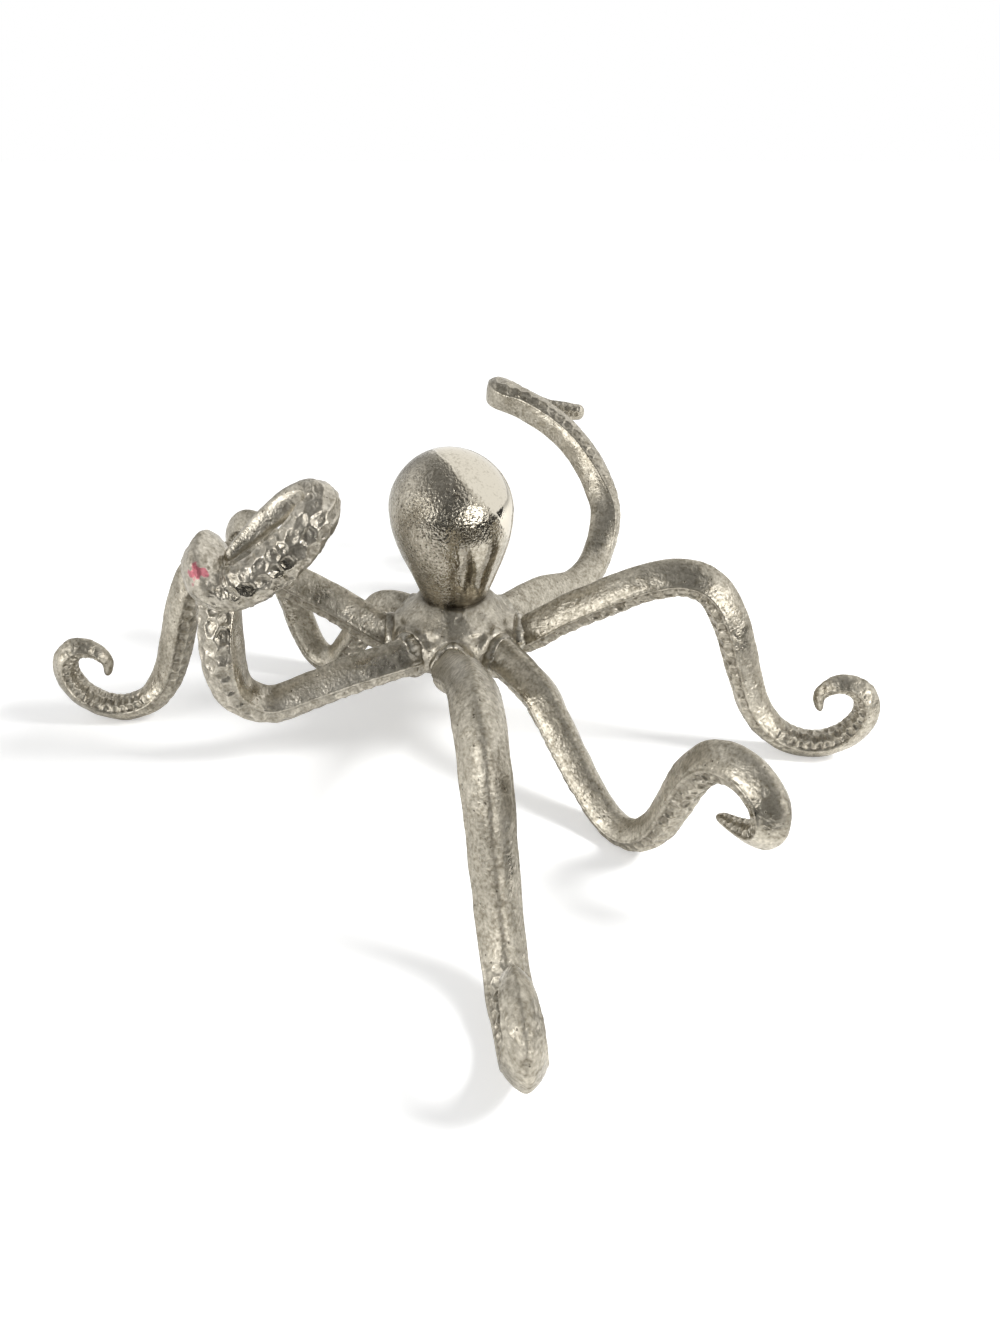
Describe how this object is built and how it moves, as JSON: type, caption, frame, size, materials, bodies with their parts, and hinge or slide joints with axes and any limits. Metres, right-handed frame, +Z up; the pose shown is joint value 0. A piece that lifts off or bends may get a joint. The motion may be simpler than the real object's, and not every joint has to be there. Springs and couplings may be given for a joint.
{
  "type": "octopus figurine",
  "caption": "Cast-metal octopus ornament: an egg-shaped mantle on a hub, with curled suckered arms welded round it. It stands on its arms as a table decoration.",
  "frame": {"origin": "on the table, under the middle of the whole ornament", "axes": "+Z up, -Y towards the front as the ornament faces a viewer, +X to that viewer's right"},
  "size_m": [0.3632, 0.3966, 0.1287],
  "materials": {
    "mantle_metal": "polished nickel-look casting with fine pits",
    "arm_metal": "raw nickel-look casting, satin, with rows of suckers",
    "hub_metal": "raw nickel-look casting, rough, with dark pits",
    "weld_metal": "rough weld bead"
  },
  "bodies": {
    "root": {"mantle": "mantle_metal", "hub": "hub_metal", "neck_weld": "weld_metal", "arm_front": "arm_metal", "arm_front_right": "arm_metal", "arm_right": "arm_metal", "arm_back_right": "arm_metal", "arm_back": "arm_metal", "arm_back_left": "arm_metal", "arm_left": "arm_metal", "arm_front_left": "arm_metal", "weld_front": "weld_metal", "weld_front_right": "weld_metal", "weld_right": "weld_metal", "weld_back_right": "weld_metal", "weld_back": "weld_metal", "weld_back_left": "weld_metal", "weld_left": "weld_metal", "weld_front_left": "weld_metal"}
  },
  "joints": []
}
